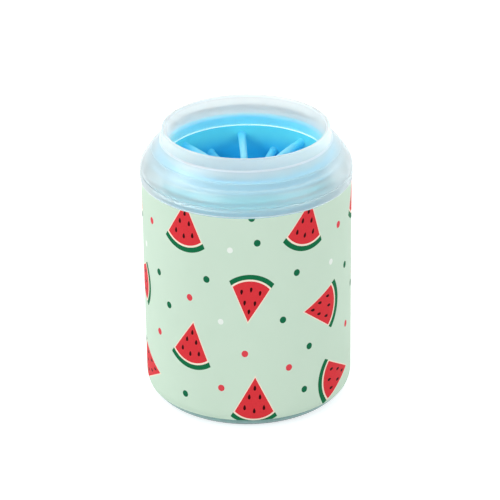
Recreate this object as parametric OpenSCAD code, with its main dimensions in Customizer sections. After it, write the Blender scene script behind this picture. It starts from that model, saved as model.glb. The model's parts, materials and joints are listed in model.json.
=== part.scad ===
// Paw washer cup: a tumbler with a printed film, a silicone brush insert and a
// screw-on frosted collar. Millimetres, z = 0 at the foot, axis along Z.

/* [Mouth] */
// Inner radius of the neck that the paw goes through
bore_r = 36; // [28:0.5:48]

/* [Cup] */
// Height of the lower edge of the printed film above the table
film_z = 6; // [4:0.1:7]
// Height of the shoulder that the threaded neck rises from
shoulder_z = 106.8; // [90:0.2:150]
// Height of the mouth rim above the shoulder
neck_h = 8.4; // [8:0.2:10]
// Wall of the tumbler
cup_wall = 2; // [1.4:0.1:2.6]
// How far the foot lies inside the film, across the rounded heel
heel_inset = 9.4; // [9:0.1:11]
// Radius of the heel's curve, which the film follows
heel_r = 11; // [11:0.1:14]
// Width of the foot ring
foot_ring = 5; // [3:0.5:8]
// Depth of the recess under the floor
foot_recess = 2.4; // [1:0.2:4]
// Thickness of the floor
floor_t = 2.4; // [1.6:0.2:4]
// Radius of the bend between the floor and the wall inside
floor_bend = 9; // [4:0.5:12]
// Thickness of the printed film
film_t = 0.28; // [0.1:0.02:0.5]

/* [Collar] */
// How far the collar's lip stands out over the film
lip_out = 0.5; // [0.1:0.1:1.5]
// Wall of the collar
collar_wall = 2; // [1.6:0.1:2.4]
// Height of the straight lip band up to its groove
lip_h = 4.2; // [3.6:0.1:5]
// Depth of the groove between the lip band and the shoulder dome
groove_d = 0.35; // [0.1:0.05:0.6]
// Width of that groove
groove_w = 0.5; // [0.3:0.1:0.8]
// Radius of the first bend of the shoulder dome
bend_r = 6.3; // [5:0.1:8]
// Angle that the first bend turns through
bend_a = 29; // [20:1:35]
// Radius of the long curve up to the rim wall
dome_r = 36.7; // [32:0.1:45]
// Height of the rim above the dome
rim_h = 5.45; // [3:0.05:12]
// Wall of the rim at its top
rim_wall = 1.85; // [1.4:0.05:2.4]
// How much the rim wall flares on its way down to the dome
rim_flare = 0.35; // [0:0.05:0.6]
// Wall of the skirt that hangs inside the sleeve
skirt_wall = 1.8; // [1.2:0.1:2.2]
// How far the skirt reaches below the top of the flange
skirt_depth = 1.5; // [0:0.1:6]
// Width of the rib that presses on the flange
rib_w = 1.2; // [0.8:0.1:1.6]

/* [Thread] */
// Rise of one full turn
pitch = 3.5; // [3.2:0.1:4]
// Height of a thread ridge above its wall
ridge_h = 1.7; // [1.2:0.1:1.9]
// Width of a ridge at its root
ridge_root = 1.7; // [1.4:0.1:1.8]
// Width of a ridge at its crest
ridge_crest = 0.9; // [0.6:0.1:1.1]
// Height of the start of the cup's ridge above the shoulder
ridge_start = 1.9; // [1.8:0.1:2.2]
// Turn of each ridge
ridge_turn = 360; // [270:15:375]
// How far round the collar's ridge starts after the cup's
ridge_lag = 90; // [80:5:180]

/* [Brush] */
// Wall of the silicone sleeve
sleeve_wall = 2; // [1.2:0.1:2.4]
// Height of the sleeve's open lower end above the floor
sump_h = 15.2; // [8:0.2:24]
// Height of the sleeve above its flange
sleeve_lip = 3.2; // [1:0.1:3.8]
// Thickness of the flange that seals the mouth
flange_t = 1.6; // [1:0.1:1.8]
// How far the flange's edge lies inside the neck's outer wall
flange_inset = 0.8; // [0.4:0.1:1.2]
// Bristles in each row
per_row = 8; // [6:1:10]
// Drop of the top row's roots below the flange
row_drop = 5.15; // [4:0.05:7]
// Height of the lowest row's roots above the sleeve's lower end
row_tail = 9.8; // [8:0.2:20]
// Turn of the top row away from the back
row_turn = 3; // [0:1:22]
// Radius of a bristle at its root
root_r = 1.9; // [1.2:0.1:2.2]
// Radius of a bristle's round tip
tip_r = 1.6; // [1:0.1:1.8]
// Length of a bristle along its own axis
bristle_len = 23; // [14:0.5:24]
// How far a bristle droops below level
droop = 10; // [0:1:20]

/* [Fit] */
// Radial gap between the film and the wall under it
film_gap = 0.02; // [0.01:0.01:0.05]
// Gap between the collar's lip and the cup's shoulder
lip_gap = 0.3; // [0.2:0.05:0.6]
// Gap between the flange and what clamps it
seal_gap = 0.05; // [0.03:0.01:0.1]
// Gap between a thread crest and the wall that it faces
crest_gap = 0.4; // [0.3:0.05:0.6]
// Gap between the loaded flanks of the two threads
flank_gap = 0.3; // [0.2:0.05:0.4]
// Gap round the collar's skirt, inside the sleeve
skirt_gap = 0.2; // [0.1:0.05:0.3]
// Gap round the sleeve, where it hangs through the cup's throat
throat_gap = 1.8; // [0.8:0.1:4]
// Gap between a bristle's root and the sleeve
root_gap = 0.05; // [0.03:0.01:0.1]

/* [Hidden] */
row_count = 12;
$fn = 180;

// Radii, from the mouth's bore outward
rim_r = bore_r + rim_wall;
skirt_r = bore_r + skirt_wall;
sleeve_r = skirt_r + skirt_gap;
sleeve_out_r = sleeve_r + sleeve_wall;
throat_r = sleeve_out_r + throat_gap;
neck_r = throat_r + cup_wall;
collar_crest_r = neck_r + crest_gap;
cup_crest_r = neck_r + ridge_h;
collar_in_r = cup_crest_r + crest_gap;
dome_start_r = collar_in_r + collar_wall;
collar_r = dome_start_r + 0.1;
body_r = collar_r - lip_out;
wall_r = body_r - film_t;
inside_r = wall_r - cup_wall;
foot_r = body_r - heel_inset;

// Collar
lip_z = shoulder_z + lip_gap;
band_z = lip_z + lip_h;
dome_z = band_z + groove_w;
bend_c = [dome_start_r - bend_r, dome_z];
dome_c = bend_c + (bend_r - dome_r) * [cos(bend_a), sin(bend_a)];
rim_foot_r = rim_r + rim_flare + 0.3;
rim_foot_a = arc_at_x(dome_c, dome_r, rim_foot_r);
rim_foot_z = dome_c[1] + dome_r * sin(rim_foot_a);
rim_z = rim_foot_z + rim_h;

// Cup
floor_z = foot_recess + floor_t;
mouth_z = shoulder_z + neck_h;
heel_wall_r = heel_r - film_t;
heel_a = acos((heel_r - heel_inset) / heel_wall_r);
heel_c = [body_r - heel_r, heel_wall_r * sin(heel_a)];
film_a = asin((heel_c[1] - film_z) / heel_r);
film_steps = 8;

// Brush
sleeve_z = floor_z + sump_h;
flange_z = mouth_z + seal_gap;
flange_top = flange_z + flange_t;
flange_r = neck_r - flange_inset;
skirt_z = flange_top - skirt_depth;
row_z = flange_z - row_drop;
row_step = (row_z - sleeve_z - row_tail) / (row_count - 1);

// Thread
ridge_z = shoulder_z + ridge_start;
ridge_drop = (ridge_root + ridge_crest) / 2 + flank_gap;
ridge_sink = 0.3;
ridge_steps = 48;

// Small rounds
rim_round = 0.8;
lip_round = 0.5;
mouth_round = 0.6;
flange_round = 0.4;

// Points along an arc about c, with both ends
function arc(c, r, a0, a1, n) =
  [for (i = [0:n]) let (a = a0 + (a1 - a0) * i / n) c + r * [cos(a), sin(a)]];

// Angle on the arc of radius r about c where it lies x from the axis
function arc_at_x(c, r, x) = acos((x - c[0]) / r);

// A solid of revolution from [radius, height] points
module turned(points) {
  rotate_extrude() polygon(points);
}

// A helical ridge between the radii r_in and r_out. It starts at the angle a0 on
// the helix that passes the height z at angle 0, and its crest is the outer side
// or the inner side.
module ridge(r_in, r_out, z, a0, crest_out) {
  n = ceil(ridge_turn / 360 * ridge_steps);
  w_in = (crest_out ? ridge_root : ridge_crest) / 2;
  w_out = (crest_out ? ridge_crest : ridge_root) / 2;
  section = [[r_in, -w_in], [r_out, -w_out], [r_out, w_out], [r_in, w_in]];
  points = [
    for (i = [0:n]) let (a = a0 + ridge_turn * i / n, h = z + pitch * a / 360)
      for (s = section) [s[0] * cos(a), s[0] * sin(a), h + s[1]]
  ];
  sides = [
    for (i = [0:n - 1], k = [0:3]) let (j = (k + 1) % 4)
      for (t = [
        [4 * i + k, 4 * i + 4 + j, 4 * i + 4 + k],
        [4 * i + k, 4 * i + j, 4 * i + 4 + j]
      ]) t
  ];
  ends = [
    [0, 2, 1], [0, 3, 2],
    [4 * n, 4 * n + 1, 4 * n + 2], [4 * n, 4 * n + 2, 4 * n + 3]
  ];
  polyhedron(points, concat(sides, ends));
}

// Tumbler with its foot, rounded heel, threaded neck and mouth
module cup_shell() {
  throat_z = shoulder_z - cup_wall / 2;
  outside = concat(
    [[foot_r - foot_ring, 0], [foot_r, 0]],
    arc(heel_c, heel_wall_r, 3 - heel_a, -film_a - 3, 9),
    arc(heel_c, heel_wall_r, -film_a, 0, film_steps),
    [[wall_r, shoulder_z - 0.3], [wall_r - 0.3, shoulder_z], [neck_r, shoulder_z]],
    arc([neck_r - mouth_round, mouth_z - mouth_round], mouth_round, 0, 90, 5)
  );
  inside = concat(
    arc([throat_r + mouth_round, mouth_z - mouth_round], mouth_round, 90, 180, 5),
    [[throat_r, throat_z], [inside_r, throat_z - (inside_r - throat_r)]],
    arc([inside_r - floor_bend, floor_z + floor_bend], floor_bend, 0, -90, 9),
    [[0, floor_z], [0, foot_recess], [foot_r - foot_ring - foot_recess, foot_recess]]
  );
  color([0.72, 0.84, 0.87, 0.6])
    union() {
      turned(concat(outside, inside));
      ridge(neck_r - ridge_sink, cup_crest_r, ridge_z, 0, true);
    }
}

// Printed film, shrunk round the wall and the upper part of the heel
module print_wrap() {
  color([0.8, 0.886, 0.812])
    turned(concat(
      arc(heel_c, heel_r, -film_a, 0, film_steps),
      [[body_r, shoulder_z], [wall_r + film_gap, shoulder_z]],
      arc(heel_c, heel_wall_r + film_gap, 0, -film_a, film_steps)
    ));
}

// Silicone sleeve with the flange that lies on the mouth
module brush_sleeve() {
  top_z = flange_top + sleeve_lip;
  round_r = sleeve_wall / 2;
  lip_r = 0.5;
  color([0.25, 0.72, 0.9])
    turned(concat(
      arc([sleeve_r + round_r, sleeve_z + round_r], round_r, 180, 360, 10),
      [[sleeve_out_r, flange_z]],
      arc([flange_r - flange_round, flange_z + flange_round], flange_round, -90, 0, 3),
      arc([flange_r - flange_round, flange_top - flange_round], flange_round, 0, 90, 3),
      [[sleeve_out_r, flange_top]],
      arc([sleeve_out_r - lip_r, top_z - lip_r], lip_r, 0, 90, 3),
      arc([sleeve_r + lip_r, top_z - lip_r], lip_r, 90, 180, 3)
    ));
}

// One ring of bristles. Every other row is turned by half a step.
module bristle_row(n) {
  step = 360 / per_row;
  sink = 1.5;
  shank = bristle_len - tip_r;
  z = row_z - (n - 1) * row_step;
  start = 90 + row_turn + (n % 2 == 0 ? step / 2 : 0);
  color([0.45, 0.83, 0.96])
    intersection() {
      for (i = [0:per_row - 1])
        rotate([0, 0, start + i * step])
          translate([sleeve_r, 0, z])
            rotate([0, -90 - droop, 0]) {
              translate([0, 0, -sink]) cylinder(r1 = root_r, r2 = tip_r, h = shank + sink, $fn = 32);
              translate([0, 0, shank]) sphere(r = tip_r, $fn = 32);
            }
      translate([0, 0, sleeve_z]) cylinder(r = sleeve_r - root_gap, h = flange_top - sleeve_z);
    }
}

// Frosted collar: lip band, shoulder dome, rim, skirt, sealing rib and thread
module screw_collar() {
  under_bend = bend_r - collar_wall;
  under_dome = dome_r - collar_wall;
  skirt_a = arc_at_x(dome_c, under_dome, skirt_r);
  rib_r = flange_r - 0.2;
  rib_z = flange_top + seal_gap;
  rib_h = dome_c[1] + under_dome * sin(arc_at_x(dome_c, under_dome, rib_r)) + 0.5 - rib_z;
  groove_r = dome_start_r - groove_d;
  outside = concat(
    [[collar_in_r, lip_z]],
    arc([collar_r - lip_round, lip_z + lip_round], lip_round, -90, 0, 4),
    [[collar_r, band_z - 0.2], [groove_r, band_z], [groove_r, dome_z - 0.2]],
    arc(bend_c, bend_r, 0, bend_a, 12),
    arc(dome_c, dome_r, bend_a + 1, rim_foot_a, 16),
    [[rim_foot_r - 0.25, rim_foot_z + 0.35]],
    arc([rim_r - rim_round, rim_z - rim_round], rim_round, 0, 90, 6)
  );
  inside = concat(
    arc([bore_r + rim_round, rim_z - rim_round], rim_round, 90, 180, 6),
    [[bore_r, skirt_z], [skirt_r, skirt_z]],
    arc(dome_c, under_dome, skirt_a, bend_a + 1, 14),
    arc(bend_c, under_bend, bend_a, 0, 8)
  );
  color([0.86, 0.94, 0.96, 0.7])
    union() {
      turned(concat(outside, inside));
      translate([0, 0, rib_z])
        difference() {
          cylinder(r = rib_r, h = rib_h);
          translate([0, 0, -1]) cylinder(r = rib_r - rib_w, h = rib_h + 2);
        }
      ridge(collar_crest_r, collar_in_r + ridge_sink, ridge_z - ridge_drop, ridge_lag, false);
    }
}

cup_shell();
print_wrap();
brush_sleeve();
screw_collar();
bristle_row(1);  // bristle_row_01
bristle_row(2);  // bristle_row_02
bristle_row(3);  // bristle_row_03
bristle_row(4);  // bristle_row_04
bristle_row(5);  // bristle_row_05
bristle_row(6);  // bristle_row_06
bristle_row(7);  // bristle_row_07
bristle_row(8);  // bristle_row_08
bristle_row(9);  // bristle_row_09
bristle_row(10);  // bristle_row_10
bristle_row(11);  // bristle_row_11
bristle_row(12);  // bristle_row_12
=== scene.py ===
import json
import math
import bpy
from mathutils import Matrix, Vector


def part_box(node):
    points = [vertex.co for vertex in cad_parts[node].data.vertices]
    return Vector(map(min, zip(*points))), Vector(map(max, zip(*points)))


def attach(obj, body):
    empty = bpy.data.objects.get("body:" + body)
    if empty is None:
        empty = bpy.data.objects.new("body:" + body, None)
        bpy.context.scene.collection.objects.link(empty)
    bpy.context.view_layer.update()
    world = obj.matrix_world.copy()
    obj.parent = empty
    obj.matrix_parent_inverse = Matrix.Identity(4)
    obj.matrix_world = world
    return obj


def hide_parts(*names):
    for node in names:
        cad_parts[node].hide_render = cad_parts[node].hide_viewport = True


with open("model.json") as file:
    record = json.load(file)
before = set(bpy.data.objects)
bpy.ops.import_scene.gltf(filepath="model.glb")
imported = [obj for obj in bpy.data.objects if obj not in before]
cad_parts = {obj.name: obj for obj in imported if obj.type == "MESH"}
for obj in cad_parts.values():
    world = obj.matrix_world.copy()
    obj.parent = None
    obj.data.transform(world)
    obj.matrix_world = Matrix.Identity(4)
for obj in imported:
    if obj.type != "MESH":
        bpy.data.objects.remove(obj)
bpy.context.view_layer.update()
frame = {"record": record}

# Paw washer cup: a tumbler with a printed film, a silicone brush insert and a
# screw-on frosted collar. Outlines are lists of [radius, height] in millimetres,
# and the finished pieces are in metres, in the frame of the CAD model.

MM = 0.001


# ---- Sizes, in millimetres ----

def low(node, axis=2):
    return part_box(node)[0][axis] / MM


def high(node, axis=2):
    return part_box(node)[1][axis] / MM


MOUTH = next(m for m in frame["record"]["mounts"] if m["name"] == "mouth")
BORE_R = MOUTH["dims"]["r_mm"]

# Collar
COLLAR_R = high("screw_collar", 0)
LIP_Z = low("screw_collar")
RIM_Z = high("screw_collar")
RIM_T = 1.85
RIM_R = BORE_R + RIM_T
SKIRT_T = 1.8
SKIRT_R = BORE_R + SKIRT_T
# The bore's wall is hazy above the first height and milky above the second
HAZY_Z = 120
MILKY_Z = 122
BAND_H = 4.2
BAND_Z = LIP_Z + BAND_H
GROOVE_W = 0.5
GROOVE_D = 0.25
DOME_INSET = 0.1
DOME_START_R = COLLAR_R - DOME_INSET
DOME_WALL = 2
COLLAR_IN_R = DOME_START_R - DOME_WALL
BEND_R = 6.3
BEND_A = 29
DOME_R = 36.7
BEAD_A = 41.2
BEAD_HALF_A = 0.5
BEAD_H = 0.14
RIM_FLARE = 0.65
RIM_FOOT_R = RIM_R + RIM_FLARE
RIB_W = 1.2

# Printed film
FILM_R = high("print_wrap", 0)
FILM_T = 0.26
FILM_GAP = 0.02
FILM_Z = low("print_wrap")
SHOULDER_Z = high("print_wrap")

# Cup
MOUTH_Z = high("cup_shell")
CUP_WALL = 2
WALL_R = FILM_R - FILM_T - FILM_GAP
INSIDE_R = WALL_R - CUP_WALL
NECK_R = 43.8
THROAT_R = NECK_R - CUP_WALL
HEEL_INSET = 9.4
FOOT_R = FILM_R - HEEL_INSET
FOOT_RING = 5
FOOT_RECESS = 2.4
FLOOR_Z = 4.8
FLOOR_BEND = 9
HEEL_R = 11
HEEL_WALL_R = HEEL_R - FILM_T - FILM_GAP
# The wall runs down the heel by this angle to the foot, and the film by the second one
HEEL_A = math.degrees(math.acos((FOOT_R - FILM_R + HEEL_R) / HEEL_WALL_R))
HEEL_C = [FILM_R - HEEL_R, HEEL_WALL_R * math.sin(math.radians(HEEL_A))]
FILM_A = math.degrees(math.asin((HEEL_C[1] - FILM_Z) / HEEL_R))

# Brush
SLEEVE_Z = low("brush_sleeve")
SLEEVE_TOP = high("brush_sleeve")
FLANGE_R = high("brush_sleeve", 0)
SEAT_GAP = 0.05
FLANGE_Z = MOUTH_Z + SEAT_GAP
FLANGE_T = 1.6
FLANGE_TOP = FLANGE_Z + FLANGE_T
SLEEVE_R = 38
SLEEVE_OUT_R = 40
SKIRT_DEPTH = 1.5
SKIRT_Z = FLANGE_TOP - SKIRT_DEPTH
ROWS = 12
PER_ROW = 8
ROW_DROP = 5.15
TOP_ROW_Z = FLANGE_Z - ROW_DROP
ROW_STEP = (low("bristle_row_01") - low("bristle_row_12")) / (ROWS - 1)
ROW_TURN = 3
BRISTLE_LEN = 23

# Threads
PITCH = 3.5
RIDGE_H = 1.7
RIDGE_ROOT = 1.7
RIDGE_CREST = 0.9
RIDGE_RISE = 1.9
RIDGE_Z = SHOULDER_Z + RIDGE_RISE
# The collar's ridge starts this far below the neck's, and this many degrees after it
RIDGE_DROP = 1.6
RIDGE_LAG = 90
RIDGE_SINK = 0.3

TURN_STEPS = 192
RIDGE_STEPS = 96
FILM_STEPS = 60
SMOOTH_A = 35
MERGE_MM = 0.001


# ---- Modelling helpers ----

def arc(c, r, a0, a1, steps):
    """Points along an arc about c from a0 to a1 degrees, with both ends."""
    turn = [math.radians(a0 + (a1 - a0) * i / steps) for i in range(steps + 1)]
    return [[c[0] + r * math.cos(a), c[1] + r * math.sin(a)] for a in turn]


def angle_at(c, r, x):
    """Angle in degrees on the arc of radius r about c where it lies x from the axis."""
    return math.degrees(math.acos((x - c[0]) / r))


def select_all():
    bpy.ops.mesh.select_all(action="SELECT")


def draw_outline(outline):
    """A small plane merged to a point at the outline's start, and extruded along it."""
    bpy.ops.object.select_all(action="DESELECT")
    (r0, z0) = outline[0]
    bpy.ops.mesh.primitive_plane_add(size=MM, location=(r0 * MM, 0, z0 * MM))
    bpy.ops.object.mode_set(mode="EDIT")
    bpy.ops.mesh.merge(type="CENTER")
    for (r, z), (r_next, z_next) in zip(outline, outline[1:]):
        step = ((r_next - r) * MM, 0, (z_next - z) * MM)
        bpy.ops.mesh.extrude_region_move(TRANSFORM_OT_translate={"value": step})


def turn_piece(outline):
    """A solid of revolution about Z from a closed outline, or one that ends on the axis."""
    draw_outline(outline)
    select_all()
    bpy.ops.mesh.remove_doubles(threshold=MERGE_MM * MM)
    bpy.ops.mesh.spin(steps=TURN_STEPS, angle=2 * math.pi, center=(0, 0, 0), axis=(0, 0, 1))
    select_all()
    bpy.ops.mesh.remove_doubles(threshold=MERGE_MM * MM)
    select_all()
    bpy.ops.mesh.normals_make_consistent(inside=False)
    bpy.ops.object.mode_set(mode="OBJECT")
    bpy.ops.object.transform_apply(location=True, rotation=True, scale=True)
    return bpy.context.object


def apply_modifier(piece, kind, **settings):
    """Adds a modifier with these settings and applies it."""
    bpy.context.view_layer.objects.active = piece
    bpy.ops.object.modifier_add(type=kind)
    modifier = piece.modifiers[-1]
    for name, value in settings.items():
        setattr(modifier, name, value)
    bpy.ops.object.modifier_apply(modifier=modifier.name)


def thread_ridge(r_root, r_crest, z, start):
    """One turn of a right-hand ridge between its root and crest radii."""
    root = RIDGE_ROOT / 2
    crest = RIDGE_CREST / 2
    z += PITCH * start / 360
    draw_outline([
        [r_root, z - root], [r_crest, z - crest], [r_crest, z + crest],
        [r_root, z + root], [r_root, z - root],
    ])
    select_all()
    bpy.ops.mesh.remove_doubles(threshold=MERGE_MM * MM)
    bpy.ops.object.mode_set(mode="OBJECT")
    bpy.ops.object.transform_apply(location=True, rotation=True, scale=True)
    ridge = bpy.context.object
    apply_modifier(ridge, "SCREW", angle=2 * math.pi, screw_offset=PITCH * MM,
                   steps=RIDGE_STEPS, render_steps=RIDGE_STEPS, use_merge_vertices=False)
    bpy.ops.object.mode_set(mode="EDIT")
    bpy.ops.mesh.select_all(action="DESELECT")
    bpy.ops.mesh.select_non_manifold()
    bpy.ops.mesh.edge_face_add()
    select_all()
    bpy.ops.mesh.normals_make_consistent(inside=False)
    bpy.ops.transform.rotate(value=-math.radians(start), orient_axis="Z",
                             center_override=(0, 0, 0))
    bpy.ops.object.mode_set(mode="OBJECT")
    return ridge


def unite(piece, other):
    """Joins other into piece as one solid."""
    bpy.ops.object.select_all(action="DESELECT")
    apply_modifier(piece, "BOOLEAN", operation="UNION", solver="EXACT", object=other)
    bpy.data.objects.remove(other)
    bpy.ops.object.mode_set(mode="EDIT")
    select_all()
    bpy.ops.mesh.remove_doubles(threshold=MERGE_MM * MM)
    select_all()
    bpy.ops.mesh.dissolve_degenerate(threshold=MERGE_MM / 2 * MM)
    bpy.ops.object.mode_set(mode="OBJECT")


def finish_piece(piece, name, body, slot, material, *nodes):
    """Names a piece, gives it its finish, ties it to its body and hides its CAD nodes."""
    bpy.ops.object.select_all(action="DESELECT")
    piece.name = name
    piece.data.name = name
    piece.data.materials.clear()
    piece.data.materials.append(material)
    piece.select_set(True)
    bpy.context.view_layer.objects.active = piece
    bpy.ops.object.shade_smooth_by_angle(angle=math.radians(SMOOTH_A))
    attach(piece, body)
    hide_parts(*nodes)
    return piece


def give_faces(piece, material, chosen):
    """Puts a further material on the faces that are chosen by radius, height and normal."""
    bpy.context.view_layer.objects.active = piece
    piece.data.materials.append(material)
    piece.active_material_index = len(piece.data.materials) - 1
    bpy.ops.object.mode_set(mode="EDIT")
    bpy.ops.mesh.select_mode(type="FACE")
    bpy.ops.mesh.select_all(action="DESELECT")
    bpy.ops.object.mode_set(mode="OBJECT")
    for face in piece.data.polygons:
        x, y, z = face.center / MM
        r = math.hypot(x, y)
        outward = (face.normal.x * x + face.normal.y * y) / max(r, MM)
        face.select = chosen(r, z, outward, face.normal.z)
    bpy.ops.object.mode_set(mode="EDIT")
    bpy.ops.object.material_slot_assign()
    bpy.ops.mesh.select_mode(type="VERT")
    bpy.ops.object.mode_set(mode="OBJECT")


# ---- Material helpers ----

def paint(r, g, b):
    """A display colour from 0 to 255, as the linear colour that a shader takes."""
    linear = [
        c / 12.92 if c <= 0.04045 else ((c + 0.055) / 1.055) ** 2.4
        for c in (r / 255, g / 255, b / 255)
    ]
    return (*linear, 1)


class Finish:
    """A material with one Principled shader, and short calls for the nodes that feed it."""

    def __init__(self, name, **sockets):
        self.material = bpy.data.materials.new(name)
        self.material.use_nodes = True
        self.tree = self.material.node_tree
        self.shader = self.tree.nodes["Principled BSDF"]
        for socket, value in sockets.items():
            self.shader.inputs[socket.replace("_", " ")].default_value = value
        self.place = self.tree.nodes.new("ShaderNodeTexCoord").outputs["Object"]

    def feed(self, socket, value):
        if isinstance(value, bpy.types.NodeSocket):
            self.tree.links.new(value, socket)
        else:
            socket.default_value = value

    def calc(self, operation, *values):
        """A Math node on these values."""
        node = self.tree.nodes.new("ShaderNodeMath")
        node.operation = operation
        for socket, value in zip(node.inputs, values):
            self.feed(socket, value)
        return node.outputs[0]

    def mix(self, factor, first, second):
        """The first colour where factor is 0 and the second where it is 1."""
        node = self.tree.nodes.new("ShaderNodeMix")
        node.data_type = "RGBA"
        # Sockets 6 and 7 take the colours, and output 2 gives the mixed one
        self.feed(node.inputs["Factor"], factor)
        self.feed(node.inputs[6], first)
        self.feed(node.inputs[7], second)
        return node.outputs[2]

    def noise(self, size, detail=2, stretch=(1, 1, 1)):
        """Noise with features about size millimetres across, from 0 to 1."""
        scale = self.tree.nodes.new("ShaderNodeMapping")
        scale.inputs["Scale"].default_value = stretch
        self.tree.links.new(self.place, scale.inputs["Vector"])
        node = self.tree.nodes.new("ShaderNodeTexNoise")
        node.inputs["Scale"].default_value = 1 / (size * MM)
        node.inputs["Detail"].default_value = detail
        self.tree.links.new(scale.outputs[0], node.inputs["Vector"])
        return node.outputs["Fac"]

    def height(self, z0, z1):
        """0 below z0 and 1 above z1 millimetres, with a smooth rise between them."""
        split = self.tree.nodes.new("ShaderNodeSeparateXYZ")
        self.tree.links.new(self.place, split.inputs[0])
        node = self.tree.nodes.new("ShaderNodeMapRange")
        node.interpolation_type = "SMOOTHSTEP"
        node.inputs["From Min"].default_value = z0 * MM
        node.inputs["From Max"].default_value = z1 * MM
        self.tree.links.new(split.outputs[2], node.inputs["Value"])
        return node.outputs["Result"]

    def radius(self, r0, r1):
        """0 within r0 and 1 beyond r1 millimetres of the axis, with a smooth rise."""
        flat = self.tree.nodes.new("ShaderNodeVectorMath")
        flat.operation = "MULTIPLY"
        flat.inputs[1].default_value = (1, 1, 0)
        self.tree.links.new(self.place, flat.inputs[0])
        length = self.tree.nodes.new("ShaderNodeVectorMath")
        length.operation = "LENGTH"
        self.tree.links.new(flat.outputs[0], length.inputs[0])
        node = self.tree.nodes.new("ShaderNodeMapRange")
        node.interpolation_type = "SMOOTHSTEP"
        node.inputs["From Min"].default_value = r0 * MM
        node.inputs["From Max"].default_value = r1 * MM
        self.tree.links.new(length.outputs["Value"], node.inputs["Value"])
        return node.outputs["Result"]

    def spread(self, value, lowest, highest):
        """Maps 0 to 1 onto lowest to highest."""
        node = self.tree.nodes.new("ShaderNodeMapRange")
        node.inputs["To Min"].default_value = lowest
        node.inputs["To Max"].default_value = highest
        self.tree.links.new(value, node.inputs["Value"])
        return node.outputs["Result"]

    def colour(self, value):
        self.feed(self.shader.inputs["Base Color"], value)

    def roughness(self, value):
        self.feed(self.shader.inputs["Roughness"], value)

    def bump(self, value, depth):
        """Bump of this depth in millimetres."""
        node = self.tree.nodes.new("ShaderNodeBump")
        node.inputs["Strength"].default_value = 1
        node.inputs["Distance"].default_value = depth * MM
        self.tree.links.new(value, node.inputs["Height"])
        self.tree.links.new(node.outputs[0], self.shader.inputs["Normal"])

    def let_lamps_through(self, *share):
        """Each face passes this share of a lamp's red, green and blue light."""
        clear = self.tree.nodes.new("ShaderNodeBsdfTransparent")
        clear.inputs["Color"].default_value = (*share, 1)
        swap = self.tree.nodes.new("ShaderNodeMixShader")
        path = self.tree.nodes.new("ShaderNodeLightPath")
        output = self.tree.nodes["Material Output"]
        self.tree.links.new(path.outputs["Is Shadow Ray"], swap.inputs[0])
        self.tree.links.new(self.shader.outputs[0], swap.inputs[1])
        self.tree.links.new(clear.outputs[0], swap.inputs[2])
        self.tree.links.new(swap.outputs[0], output.inputs["Surface"])


# ---- Finishes ----

def frosted_plastic(name, clearness, ior, *tones):
    """Milky polypropylene with a fine moulded frost, for the collar's outside."""
    finish = Finish(name, Transmission_Weight=clearness, IOR=ior,
                    Coat_Weight=0.9, Coat_Roughness=0.27)
    finish.colour(finish.mix(finish.noise(9), *tones))
    finish.roughness(finish.spread(finish.noise(0.5), 0.5, 0.58))
    finish.bump(finish.noise(0.35, 3), 0.006)
    finish.let_lamps_through(0.9, 0.9, 0.9)
    return finish.material


def satin_plastic():
    """The same plastic where it left a smooth core, on the collar's inside."""
    finish = Finish("satin_plastic", Transmission_Weight=0.93, IOR=1.3)
    finish.colour(finish.mix(finish.noise(9), paint(246, 252, 253), paint(250, 254, 254)))
    finish.roughness(finish.spread(finish.noise(0.8), 0.2, 0.26))
    finish.bump(finish.noise(0.6), 0.003)
    finish.let_lamps_through(1, 1, 1)
    return finish.material


def milky_plastic(name, clearness, ior, frost, *tones):
    """The same plastic on the wall of the bore, whiter towards the rim."""
    finish = Finish(name, Transmission_Weight=clearness, IOR=ior)
    finish.colour(finish.mix(finish.noise(9), *tones))
    finish.roughness(finish.spread(finish.noise(0.5), frost, frost + 0.07))
    finish.bump(finish.noise(0.35, 3), 0.004)
    finish.let_lamps_through(1, 1, 1)
    return finish.material


def edge_plastic(name, clearness):
    """The same plastic at its round edges, painted whiter and less clear: a painted highlight
    where the edges catch the light.
    """
    finish = Finish(name, Transmission_Weight=clearness, IOR=1.3)
    finish.colour(finish.mix(finish.noise(5), paint(248, 252, 253), paint(252, 254, 255)))
    finish.roughness(finish.spread(finish.noise(0.8), 0.34, 0.42))
    finish.bump(finish.noise(0.6), 0.003)
    finish.let_lamps_through(1, 1, 1)
    return finish.material


def clear_plastic():
    """Clear moulded plastic with faint flow lines, for the neck and wall."""
    finish = Finish("clear_plastic", Transmission_Weight=1, IOR=1.3)
    streaks = finish.noise(14, 3, (1, 1, 0.2))
    finish.colour(finish.mix(streaks, paint(244, 250, 250), paint(250, 253, 253)))
    finish.roughness(finish.spread(finish.noise(3), 0.16, 0.18))
    finish.bump(finish.noise(6), 0.01)
    finish.let_lamps_through(1, 1, 1)
    return finish.material


def smoky_plastic():
    """The same plastic in the thick foot, where it looks smoky and sea green, with painted shade
    that darkens its lowest part towards the floor.
    """
    finish = Finish("smoky_plastic", Transmission_Weight=0.35, IOR=1.4, Specular_IOR_Level=0.2)
    streaks = finish.noise(14, 3, (1, 1, 0.2))
    # Painted shade: below 2 mm the foot is a dark slate that blends into the sea green by 3.8
    # mm, shade where it meets the floor
    under = finish.mix(streaks, paint(40, 66, 84), paint(50, 76, 94))
    heel = finish.mix(streaks, paint(138, 186, 182), paint(150, 196, 192))
    finish.colour(finish.mix(finish.height(2, 3.8), under, heel))
    finish.roughness(finish.spread(finish.noise(3), 0.17, 0.24))
    finish.bump(finish.noise(6), 0.01)
    finish.let_lamps_through(0.8, 0.9, 0.9)
    return finish.material


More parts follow.
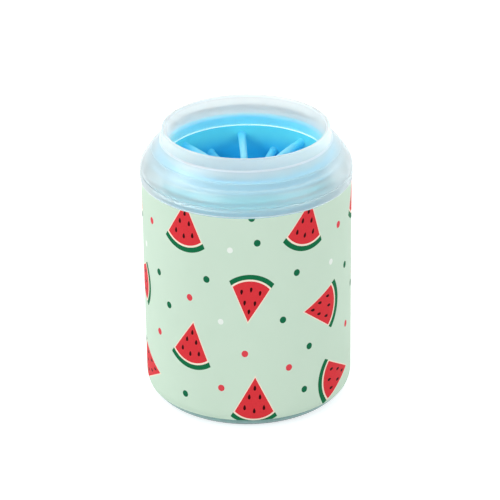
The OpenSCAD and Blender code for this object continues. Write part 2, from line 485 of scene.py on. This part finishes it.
def sky_silicone():
    """Soft matt silicone, with painted light that makes it paler towards the mouth and painted
    shade that dulls the flange's top.
    """
    finish = Finish("sky_silicone", Subsurface_Weight=0.1, Subsurface_Scale=0.003)
    finish.shader.inputs["Subsurface Radius"].default_value = (0.3, 0.8, 1)
    deep = finish.mix(finish.noise(6, 3), paint(34, 192, 246), paint(42, 198, 249))
    painted_light_tone = finish.mix(finish.noise(6, 3), paint(92, 222, 240), paint(102, 227, 243))
    # Painted light: the wall is paler in a band below the mouth, where more light falls and
    # soaks in
    painted_light_band = finish.calc("SUBTRACT", finish.height(101, 112), finish.height(114, 117))
    body = finish.mix(painted_light_band, deep, painted_light_tone)
    # Painted shade: the flange's top and the outside of the lip above it are a duller blue
    flange_painted_shade = finish.calc("MULTIPLY", finish.radius(39, 39.8), finish.height(115, 116))
    finish.colour(finish.mix(flange_painted_shade, body, paint(104, 178, 202)))
    finish.roughness(finish.spread(finish.noise(1.2), 0.48, 0.6))
    finish.bump(finish.noise(0.5, 3), 0.008)
    finish.let_lamps_through(0.25, 0.6, 0.75)
    return finish.material


def bristle_silicone():
    """The same silicone, with painted light that makes the tips paler than the root."""
    finish = Finish("bristle_silicone", Subsurface_Weight=0.3, Subsurface_Scale=0.004)
    finish.shader.inputs["Subsurface Radius"].default_value = (0.4, 0.9, 1)
    # Painted light: the tips are paler, as if light shone through the slender silicone
    painted_light_tips = finish.mix(finish.noise(4, 3), paint(134, 216, 240), paint(148, 223, 244))
    root = finish.mix(finish.noise(4, 3), paint(96, 212, 246), paint(108, 217, 248))
    finish.colour(finish.mix(finish.radius(25, 37), painted_light_tips, root))
    finish.roughness(finish.spread(finish.noise(1), 0.42, 0.55))
    finish.bump(finish.noise(0.4, 3), 0.006)
    finish.let_lamps_through(0.08, 0.25, 0.45)
    return finish.material


# Melon slice of the print, in millimetres from the flesh's tip towards the rind
SLICE_HALF_A = math.radians(28.4)
ARC_Y = 7.5
FLESH_R = 13
CREAM_R = 13.9
RIND_R = 16.3
CREAM_W = 0.45
SEED_W = 0.62
SEED_L = 1.25
SEED_FLARE = 0.14
# Seeds as (distance from the middle line, distance from the tip)
SEEDS = [(0, 5.1), (2.5, 9.4), (4.5, 14.7), (0, 16.2)]
DOT_R = 1.5
WHITE_DOT_R = 1.3
# Places of the other motifs on the print's own map, well clear of the slice
DOT_U = {"red": 40, "green": 60, "white": 80}
BARE_UV = (0, 200)


def melon_film():
    """Mint film with slices, seeds and dots, drawn on the print map."""
    finish = Finish("melon_film", Specular_IOR_Level=0.05)
    uv = finish.tree.nodes.new("ShaderNodeUVMap")
    uv.uv_map = "print"
    split = finish.tree.nodes.new("ShaderNodeSeparateXYZ")
    finish.tree.links.new(uv.outputs[0], split.inputs[0])
    x, y = split.outputs[0], split.outputs[1]
    calc = finish.calc

    def distance(from_x, from_y, about_x, about_y):
        dx = calc("SUBTRACT", from_x, about_x)
        dy = calc("SUBTRACT", from_y, about_y)
        return calc("SQRT", calc("ADD", calc("MULTIPLY", dx, dx), calc("MULTIPLY", dy, dy)))

    def both(first, second):
        return calc("MULTIPLY", first, second)

    across = calc("ABSOLUTE", x)
    side = calc(
        "SUBTRACT",
        calc("MULTIPLY", across, math.cos(SLICE_HALF_A)),
        calc("MULTIPLY", y, math.sin(SLICE_HALF_A)),
    )
    rho = distance(x, y, 0, ARC_Y)
    in_slice = calc("LESS_THAN", side, CREAM_W)
    rind = both(in_slice, calc("LESS_THAN", rho, RIND_R))
    cream = both(in_slice, calc("LESS_THAN", rho, CREAM_R))
    flesh = both(calc("LESS_THAN", side, 0), calc("LESS_THAN", rho, FLESH_R))

    fine = finish.noise(0.6)
    colour = finish.mix(finish.noise(12, 3), paint(205, 228, 209), paint(209, 230, 212))
    colour = finish.mix(rind, colour, finish.mix(fine, paint(10, 100, 60), paint(22, 116, 74)))
    colour = finish.mix(cream, colour, paint(248, 232, 213))
    colour = finish.mix(flesh, colour, finish.mix(fine, paint(216, 50, 58), paint(227, 60, 68)))
    for seed_x, seed_y in SEEDS:
        dy = calc("SUBTRACT", y, seed_y)
        # The width grows away from the tip, so the seed is a drop
        width = calc("ADD", calc("MULTIPLY", dy, SEED_FLARE), SEED_W)
        dx = calc("DIVIDE", calc("SUBTRACT", across, seed_x), width)
        dy = calc("DIVIDE", dy, SEED_L)
        reach = calc("ADD", calc("MULTIPLY", dx, dx), calc("MULTIPLY", dy, dy))
        colour = finish.mix(calc("LESS_THAN", reach, 1), colour, paint(52, 6, 8))
    dots = [("red", DOT_R, (226, 72, 82)), ("green", DOT_R, (20, 106, 70)),
            ("white", WHITE_DOT_R, (239, 247, 240))]
    for kind, dot_r, tone in dots:
        dot = calc("LESS_THAN", distance(x, y, DOT_U[kind], 0), dot_r)
        colour = finish.mix(dot, colour, paint(*tone))
    finish.colour(colour)
    finish.roughness(finish.spread(finish.noise(2), 0.5, 0.6))
    finish.bump(finish.noise(0.8, 3), 0.006)
    finish.let_lamps_through(0.55, 0.65, 0.6)
    return finish.material


# ---- Collar ----

def collar():
    """Lip band, groove, shoulder dome, rim, skirt and sealing rib, with its thread."""
    dome_z = BAND_Z + GROOVE_W
    bend_c = [DOME_START_R - BEND_R, dome_z]
    turn = math.radians(BEND_A)
    dome_c = [
        bend_c[0] + (BEND_R - DOME_R) * math.cos(turn),
        bend_c[1] + (BEND_R - DOME_R) * math.sin(turn),
    ]
    groove_r = DOME_START_R - GROOVE_D
    foot_a = angle_at(dome_c, DOME_R, RIM_FOOT_R)
    foot_z = dome_c[1] + DOME_R * math.sin(math.radians(foot_a))
    under_bend = BEND_R - DOME_WALL
    under_dome = DOME_R - DOME_WALL
    rib_inset = 0.2
    rib_r = FLANGE_R - rib_inset
    rib_z = FLANGE_TOP + SEAT_GAP
    rib_chamfer = 0.2
    rim_round = 0.8
    skirt_round = SKIRT_T / 2
    skirt_top = SLEEVE_TOP + 1.5
    lip_round = 0.5
    lip_chamfer = 0.3
    lip_ease = 0.25
    groove_edge = 0.08
    groove_floor = (BAND_Z + 0.1, dome_z - 0.2)
    # The rim's foot, as (distance in, rise) from where the dome ends
    rim_fillet = [(0.18, 0.12), (0.27, 0.4)]
    outside = (
        [[COLLAR_IN_R, LIP_Z + lip_chamfer], [COLLAR_IN_R + lip_chamfer, LIP_Z]]
        + arc([COLLAR_R - lip_round, LIP_Z + lip_round], lip_round, -90, 0, 6)
        + [[COLLAR_R, BAND_Z - lip_ease], [COLLAR_R - groove_edge, BAND_Z - groove_edge]]
        + [[groove_r + groove_edge, BAND_Z]] + [[groove_r, z] for z in groove_floor]
        + arc(bend_c, BEND_R, 0, BEND_A, 14)
        + arc(dome_c, DOME_R, BEND_A + 1, BEAD_A - BEAD_HALF_A, 11)
        + arc(dome_c, DOME_R + BEAD_H, BEAD_A - BEAD_HALF_A / 2, BEAD_A + BEAD_HALF_A / 2, 2)
        + arc(dome_c, DOME_R, BEAD_A + BEAD_HALF_A, foot_a, 10)
        + [[RIM_FOOT_R - inward, foot_z + rise] for inward, rise in rim_fillet]
        + arc([RIM_R - rim_round, RIM_Z - rim_round], rim_round, 0, 90, 8)
    )
    inside = (
        arc([BORE_R + rim_round, RIM_Z - rim_round], rim_round, 90, 180, 8)
        + [[BORE_R, MILKY_Z], [BORE_R, HAZY_Z]]
        + arc([BORE_R + skirt_round, SKIRT_Z + skirt_round], skirt_round, 180, 360, 10)
        + arc(dome_c, under_dome, angle_at(dome_c, under_dome, SKIRT_R),
              angle_at(dome_c, under_dome, rib_r - RIB_W), 8)
        + [[rib_r - RIB_W, rib_z + rib_chamfer], [rib_r - RIB_W + rib_chamfer, rib_z]]
        + [[rib_r - rib_chamfer, rib_z], [rib_r, rib_z + rib_chamfer]]
        + arc(dome_c, under_dome, angle_at(dome_c, under_dome, rib_r), BEND_A + 1, 5)
        + arc(bend_c, under_bend, BEND_A, 0, 8)
        + [[COLLAR_IN_R, LIP_Z + lip_chamfer]]
    )
    piece = turn_piece(outside + inside)
    unite(piece, thread_ridge(COLLAR_IN_R + RIDGE_SINK, COLLAR_IN_R - RIDGE_H,
                              RIDGE_Z - RIDGE_DROP, RIDGE_LAG))
    dome_plastic = frosted_plastic("frosted_plastic", 0.78, 1.4,
                                   paint(222, 235, 236), paint(229, 239, 239))
    rim_plastic = frosted_plastic("rim_plastic", 0.95, 1.3,
                                  paint(222, 238, 238), paint(227, 241, 241))
    finish_piece(piece, "collar", "collar", "frosted_plastic", dome_plastic, "screw_collar")

    def on_inside(r, z, outward, up):
        in_skirt = r < SKIRT_R + 0.2 and z < skirt_top
        return in_skirt or (r > SKIRT_R + 0.2 and (outward < -0.05 or up < -0.5))

    def on_bore(r, z, outward, up):
        return r < BORE_R + rim_round and z > skirt_top

    def on_low_bore(r, z, outward, up):
        return r < BORE_R + 0.1 and SKIRT_Z + skirt_round < z < HAZY_Z

    def on_mid_bore(r, z, outward, up):
        return r < BORE_R + 0.1 and HAZY_Z < z < MILKY_Z

    def on_rim_wall(r, z, outward, up):
        return outward > 0 and z > foot_z + 0.6 and r > RIM_R - 0.5

    def on_edge(r, z, outward, up):
        on_rim = z > RIM_Z - rim_round and r < BORE_R + rim_round / 2
        on_skirt = r < SKIRT_R + 0.1 and z < SKIRT_Z + 0.4
        on_lip = outward > 0 and z < LIP_Z + lip_round
        return on_rim or on_skirt or on_lip

    def on_crease(r, z, outward, up):
        at_foot = outward > 0 and RIM_R - 0.3 < r < RIM_FOOT_R + 0.4
        return at_foot and abs(z - foot_z) < 0.6

    give_faces(piece, satin_plastic(), on_inside)
    give_faces(piece, milky_plastic("milky_plastic", 0.6, 1.5, 0.8,
                                    paint(234, 230, 226), paint(238, 235, 231)), on_bore)
    give_faces(piece, milky_plastic("milky_plastic_low", 0.8, 1.3, 0.6,
                                    paint(196, 236, 222), paint(202, 240, 226)), on_low_bore)
    give_faces(piece, milky_plastic("milky_plastic_mid", 0.74, 1.4, 0.67,
                                    paint(214, 232, 222), paint(220, 236, 227)), on_mid_bore)
    give_faces(piece, rim_plastic, on_rim_wall)
    # Painted highlight: the round edges and the crease at the rim's foot get a whiter, less
    # clear finish
    give_faces(piece, edge_plastic("edge_plastic", 0.3), on_edge)
    give_faces(piece, edge_plastic("crease_plastic", 0.55), on_crease)


# ---- Cup ----

def tumbler():
    """Foot ring, rounded heel, wall, shoulder and threaded neck."""
    mouth_round = 0.6
    throat_z = SHOULDER_Z - CUP_WALL / 2
    ring_in = FOOT_R - FOOT_RING
    chamfer = 0.3
    neck_foot = 0.4
    foot_ease = 3
    outside = (
        [[ring_in + chamfer, 0], [FOOT_R, 0]]
        + arc(HEEL_C, HEEL_WALL_R, foot_ease - HEEL_A, 0, 24)
        + [[WALL_R, SHOULDER_Z - chamfer], [WALL_R - chamfer, SHOULDER_Z]]
        + [[NECK_R + neck_foot, SHOULDER_Z], [NECK_R, SHOULDER_Z + neck_foot]]
        + arc([NECK_R - mouth_round, MOUTH_Z - mouth_round], mouth_round, 0, 90, 6)
    )
    # Low pip under the floor, where the plastic was let into the mould
    gate_r = 2.2
    gate_h = 0.4
    inside = (
        arc([THROAT_R + mouth_round, MOUTH_Z - mouth_round], mouth_round, 90, 180, 6)
        + [[THROAT_R, throat_z], [INSIDE_R, throat_z - (INSIDE_R - THROAT_R)]]
        + arc([INSIDE_R - FLOOR_BEND, FLOOR_Z + FLOOR_BEND], FLOOR_BEND, 0, -90, 12)
        + [[0, FLOOR_Z], [0, FOOT_RECESS - gate_h - 0.1], [gate_r, FOOT_RECESS - gate_h]]
        + [[gate_r + chamfer, FOOT_RECESS]]
        + [[ring_in - FOOT_RECESS, FOOT_RECESS], [ring_in, chamfer], [ring_in + chamfer, 0]]
    )
    piece = turn_piece(outside + inside)
    unite(piece, thread_ridge(NECK_R - RIDGE_SINK, NECK_R + RIDGE_H, RIDGE_Z, 0))
    finish_piece(piece, "tumbler", "cup", "clear_plastic", clear_plastic(), "cup_shell")

    smoky_z = FILM_Z + 0.6

    def in_foot(r, z, outward, up):
        return z < smoky_z

    give_faces(piece, smoky_plastic(), in_foot)


# ---- Printed film ----

# The print repeats twice round the cup, so this is one half of it. Each slice: turn of
# its tip from the front in degrees, its height in millimetres, the lean of its rind
# from straight down to the right, and its breadth and length against the drawn slice
SLICES = [
    (-34.5, 111, -4, 0.98, 1), (36, 111.2, -11, 0.94, 1), (-0.2, 56.5, 174, 0.91, 0.98),
    (31.8, 57.5, 84, 1.07, 0.92), (-31, 53, -7, 0.97, 1), (3.4, 28.4, -2, 0.97, 1.05),
    (70, 17.4, -91, 1.07, 1), (-58.5, 19, -88, 1, 1), (-96, 59.5, 90, 1, 1), (88, 111, -4, 1, 1),
]
RED_DOTS = [
    (-63, 94.5), (-33, 65.2), (-57.5, 41), (-2, 40.5), (-15.2, 22.5), (22.3, 31.5),
    (58.7, 93), (69, 39.5), (91, 36),
]
GREEN_DOTS = [
    (2.5, 107), (5.3, 95), (-56.5, 71.3), (-22.5, 76), (27.2, 78), (-48, 57.5), (19, 56),
    (35, 39.6), (-37.4, 15.4), (31.7, 18.4), (67, 70.2), (80, 56), (89, 77),
]
WHITE_DOTS = [(-9.2, 91.5), (-14.9, 56), (-73, 79.6), (51.5, 77)]


SLICE_MIDDLE = 12
SLICE_REACH = 14.6
DOT_LENGTH = 1.1
DOT_REACH = DOT_R + 1.2


def lay_out_print():
    """Every motif as its stand (turn, height, lean, breadth, length) and its span (middle
    from its tip, reach, place on the map)."""
    motifs = [(slice_stand, (SLICE_MIDDLE, SLICE_REACH, 0)) for slice_stand in SLICES]
    for kind, dots in (("red", RED_DOTS), ("green", GREEN_DOTS), ("white", WHITE_DOTS)):
        span = (0, DOT_REACH, DOT_U[kind])
        motifs += [((turn, z, 0, 1, DOT_LENGTH), span) for turn, z in dots]
    return motifs + [((stand[0] + 180, *stand[1:]), span) for stand, span in motifs]


def on_motif(turn, z, stand):
    """Place of a point of the film on the map of the motif that stands there."""
    motif_turn, motif_z, lean, breadth, length = stand
    right = math.radians((turn - motif_turn + 180) % 360 - 180) * FILM_R
    up = z - motif_z
    lean = math.radians(lean)
    return (
        (right * math.cos(lean) + up * math.sin(lean)) / breadth,
        (right * math.sin(lean) - up * math.cos(lean)) / length,
    )


def unrolled(z):
    """Height on the film when it was flat, before it shrank round the heel."""
    drop = min(1, max(0, HEEL_C[1] - z) / HEEL_R)
    return max(z, HEEL_C[1]) - HEEL_R * math.asin(drop)


def map_print(piece):
    """Gives each face the nearest motif's map, or bare film where none reaches."""
    motifs = lay_out_print()
    mesh = piece.data
    layer = mesh.uv_layers.new(name="print")
    for face in mesh.polygons:
        x, y, z = face.center / MM
        turn = math.degrees(math.atan2(x, -y))
        nearest, share, place = None, 1, 0
        if face.normal.x * x + face.normal.y * y > 0.1 * math.hypot(x, y):
            for stand, (middle, reach, motif_place) in motifs:
                u, v = on_motif(turn, unrolled(z), stand)
                ratio = math.hypot(u, v - middle) / reach
                if ratio < share:
                    nearest, share, place = stand, ratio, motif_place
        for loop in face.loop_indices:
            if nearest is None:
                layer.data[loop].uv = BARE_UV
                continue
            x, y, z = mesh.vertices[mesh.loops[loop].vertex_index].co / MM
            u, v = on_motif(math.degrees(math.atan2(x, -y)), unrolled(z), nearest)
            layer.data[loop].uv = (u + place, v)


def film():
    """A film shrunk round the wall and the upper heel, with the print on its outside."""
    rise = (SHOULDER_Z - HEEL_C[1]) / FILM_STEPS
    wall = [[FILM_R, HEEL_C[1] + rise * (i + 1)] for i in range(FILM_STEPS)]
    heel_steps = 8
    outline = (
        arc(HEEL_C, HEEL_R, -FILM_A, 0, heel_steps) + wall
        + [[FILM_R - FILM_T, SHOULDER_Z]]
        + arc(HEEL_C, HEEL_R - FILM_T, 0, -FILM_A, heel_steps)
    )
    piece = turn_piece(outline + outline[:1])
    map_print(piece)
    return finish_piece(piece, "film", "cup", "printed_film", melon_film(), "print_wrap")


# ---- Brush ----

def sleeve():
    """Silicone tube with a round lower end, the sealing flange and a short lip above it."""
    end_round = (SLEEVE_OUT_R - SLEEVE_R) / 2
    lip_round = 0.5
    flange_round = 0.4
    fillet = 0.5
    outline = (
        arc([SLEEVE_R + end_round, SLEEVE_Z + end_round], end_round, 180, 360, 12)
        + arc([SLEEVE_OUT_R + fillet, FLANGE_Z - fillet], fillet, 180, 90, 4)
        + arc([FLANGE_R - flange_round, FLANGE_Z + flange_round], flange_round, -90, 0, 4)
        + arc([FLANGE_R - flange_round, FLANGE_TOP - flange_round], flange_round, 0, 90, 4)
        + arc([SLEEVE_OUT_R + fillet, FLANGE_TOP + fillet], fillet, 270, 180, 4)
        + arc([SLEEVE_OUT_R - lip_round, SLEEVE_TOP - lip_round], lip_round, 0, 90, 5)
        + arc([SLEEVE_R + lip_round, SLEEVE_TOP - lip_round], lip_round, 90, 180, 5)
        + [[SLEEVE_R, SLEEVE_Z + end_round]]
    )
    return finish_piece(turn_piece(outline), "sleeve", "brush", "silicone",
                        sky_silicone(), "brush_sleeve")


def bristle():
    """One finger from the sleeve's wall towards the axis, at height 0: a flared root,
    a tapering shank that bends down as it goes, and a round tip."""
    stations = [(0, 2.1), (0.4, 1.9), (1.2, 1.8), (6.5, 1.75), (12, 1.7), (17.5, 1.65),
                (21.4, 1.6), (22.2, 1.37), (22.7, 0.95), (22.96, 0.4)]
    first_droop = 4
    last_droop = 16
    bpy.ops.object.select_all(action="DESELECT")
    centre = Vector((SLEEVE_R, 0, 0)) * MM
    bpy.ops.mesh.primitive_circle_add(vertices=14, radius=stations[0][1] * MM, fill_type="NGON",
                                      location=centre, rotation=(0, math.radians(-90), 0))
    bpy.ops.object.mode_set(mode="EDIT")
    select_all()
    tilt = 0
    for (s, r), (s_next, r_next) in zip(stations, stations[1:]):
        droop = math.radians(first_droop + (last_droop - first_droop) * s_next / BRISTLE_LEN)
        way = Vector((-math.cos(droop), 0, -math.sin(droop))) * (s_next - s) * MM
        bpy.ops.mesh.extrude_region_move(TRANSFORM_OT_translate={"value": way})
        centre = centre + way
        bpy.ops.transform.resize(value=(r_next / r,) * 3, center_override=centre)
        bpy.ops.transform.rotate(value=droop - tilt, orient_axis="Y", center_override=centre)
        tilt = droop
    select_all()
    bpy.ops.mesh.normals_make_consistent(inside=False)
    bpy.ops.object.mode_set(mode="OBJECT")
    bpy.ops.object.transform_apply(location=True, rotation=True, scale=True)
    return bpy.context.object


def bristle_rows():
    """The finger copied round each row. Every other row is turned by half a step."""
    finger = bristle()
    material = bristle_silicone()
    step = 360 / PER_ROW
    for row in range(ROWS):
        start = 90 + ROW_TURN + (step / 2 if row % 2 else 0)
        lift = Matrix.Translation((0, 0, (TOP_ROW_Z - row * ROW_STEP) * MM))
        copies = []
        for i in range(PER_ROW):
            copy = finger.copy()
            copy.data = finger.data.copy()
            copy.data.transform(lift @ Matrix.Rotation(math.radians(start + i * step), 4, "Z"))
            bpy.context.collection.objects.link(copy)
            copies.append(copy)
        bpy.ops.object.select_all(action="DESELECT")
        for copy in copies:
            copy.select_set(True)
        bpy.context.view_layer.objects.active = copies[0]
        bpy.ops.object.join()
        number = f"{row + 1:02d}"
        finish_piece(bpy.context.object, "bristles_" + number, "brush", "bristle_silicone",
                     material, "bristle_row_" + number)
    bpy.data.objects.remove(finger)


# ---- Studio ----

def camera():
    """A long lens above the front, a little to the right of the axis and barely tilted."""
    elevation = math.radians(25.7)
    roll = math.radians(-0.7)
    distance = 1.1465
    aim = Vector((0.0012, 0, 0.069))
    back = Vector((0, -math.cos(elevation), math.sin(elevation)))
    data = bpy.data.cameras.new("camera")
    data.lens = 180.45
    data.sensor_width = 36
    data.clip_end = 20
    eye = bpy.data.objects.new("camera", data)
    eye.location = aim + back * distance
    level = (-back).to_track_quat("-Z", "Y").to_matrix()
    eye.rotation_euler = (level @ Matrix.Rotation(roll, 3, "Z")).to_euler()
    bpy.context.scene.collection.objects.link(eye)
    bpy.context.scene.camera = eye


def softbox(name, place, size, power):
    """A square lamp that faces the middle of the cup."""
    data = bpy.data.lights.new(name, "AREA")
    data.size = size
    data.energy = power
    lamp = bpy.data.objects.new(name, data)
    lamp.location = place
    aim = Vector((0, 0, 0.07)) - Vector(place)
    lamp.rotation_euler = aim.to_track_quat("-Z", "Y").to_euler()
    bpy.context.scene.collection.objects.link(lamp)
    return lamp


def seen_or_mirrored(tree):
    """1 for camera, glossy and transmission rays, and 0 for the rest."""
    path = tree.nodes.new("ShaderNodeLightPath")
    total = path.outputs["Is Camera Ray"]
    for name in ("Is Glossy Ray", "Is Transmission Ray"):
        most = tree.nodes.new("ShaderNodeMath")
        most.operation = "MAXIMUM"
        tree.links.new(total, most.inputs[0])
        tree.links.new(path.outputs[name], most.inputs[1])
        total = most.outputs[0]
    return total


def white_room(ambient):
    """A world that is white where it is seen, and lights the cup at the ambient level."""
    world = bpy.data.worlds.new("white_room")
    bpy.context.scene.world = world
    world.use_nodes = True
    tree = world.node_tree
    light = tree.nodes["Background"]
    light.inputs["Color"].default_value = (1, 1, 1, 1)
    level = tree.nodes.new("ShaderNodeMapRange")
    level.inputs["To Min"].default_value = ambient
    level.inputs["To Max"].default_value = 1
    tree.links.new(seen_or_mirrored(tree), level.inputs["Value"])
    tree.links.new(level.outputs[0], light.inputs["Strength"])


def table_top():
    """A plain white floor that keeps a light shadow under the cup."""
    bpy.ops.object.select_all(action="DESELECT")
    bpy.ops.mesh.primitive_plane_add(size=8)
    floor = bpy.context.object
    floor.name = "floor"
    material = bpy.data.materials.new("white_floor")
    material.use_nodes = True
    tree = material.node_tree
    shader = tree.nodes["Principled BSDF"]
    shader.inputs["Base Color"].default_value = paint(238, 240, 241)
    shader.inputs["Roughness"].default_value = 0.9
    shader.inputs["Specular IOR Level"].default_value = 0
    shader.inputs["Emission Color"].default_value = (1, 1, 1, 1)
    glow = tree.nodes.new("ShaderNodeMath")
    glow.operation = "MULTIPLY"
    glow.inputs[1].default_value = 0.64
    tree.links.new(seen_or_mirrored(tree), glow.inputs[0])
    tree.links.new(glow.outputs[0], shader.inputs["Emission Strength"])
    floor.data.materials.append(material)


collar()
tumbler()
film()
sleeve()
bristle_rows()

camera()
softbox("key", (-1.1, -1.1, 0.75), 0.9, 8.2)
softbox("fill", (1.2, -0.9, 0.55), 1.0, 6.8)
softbox("top", (-0.85, 0.1, 1.35), 0.9, 7.5)
softbox("back", (0.3, 1.5, 0.9), 1.2, 6)
softbox("left", (-1.4, 0.5, 0.35), 0.4, 2.2)
softbox("right", (1.4, 0.6, 0.4), 0.6, 3)
# The card only shows as a soft highlight on the collar's left shoulder
card = softbox("card", (-1.1, -0.05, 0.8), 0.5, 3.5)
card.visible_diffuse = False
card.visible_transmission = False
white_room(0.42)
table_top()
bpy.context.scene.view_settings.view_transform = "Standard"
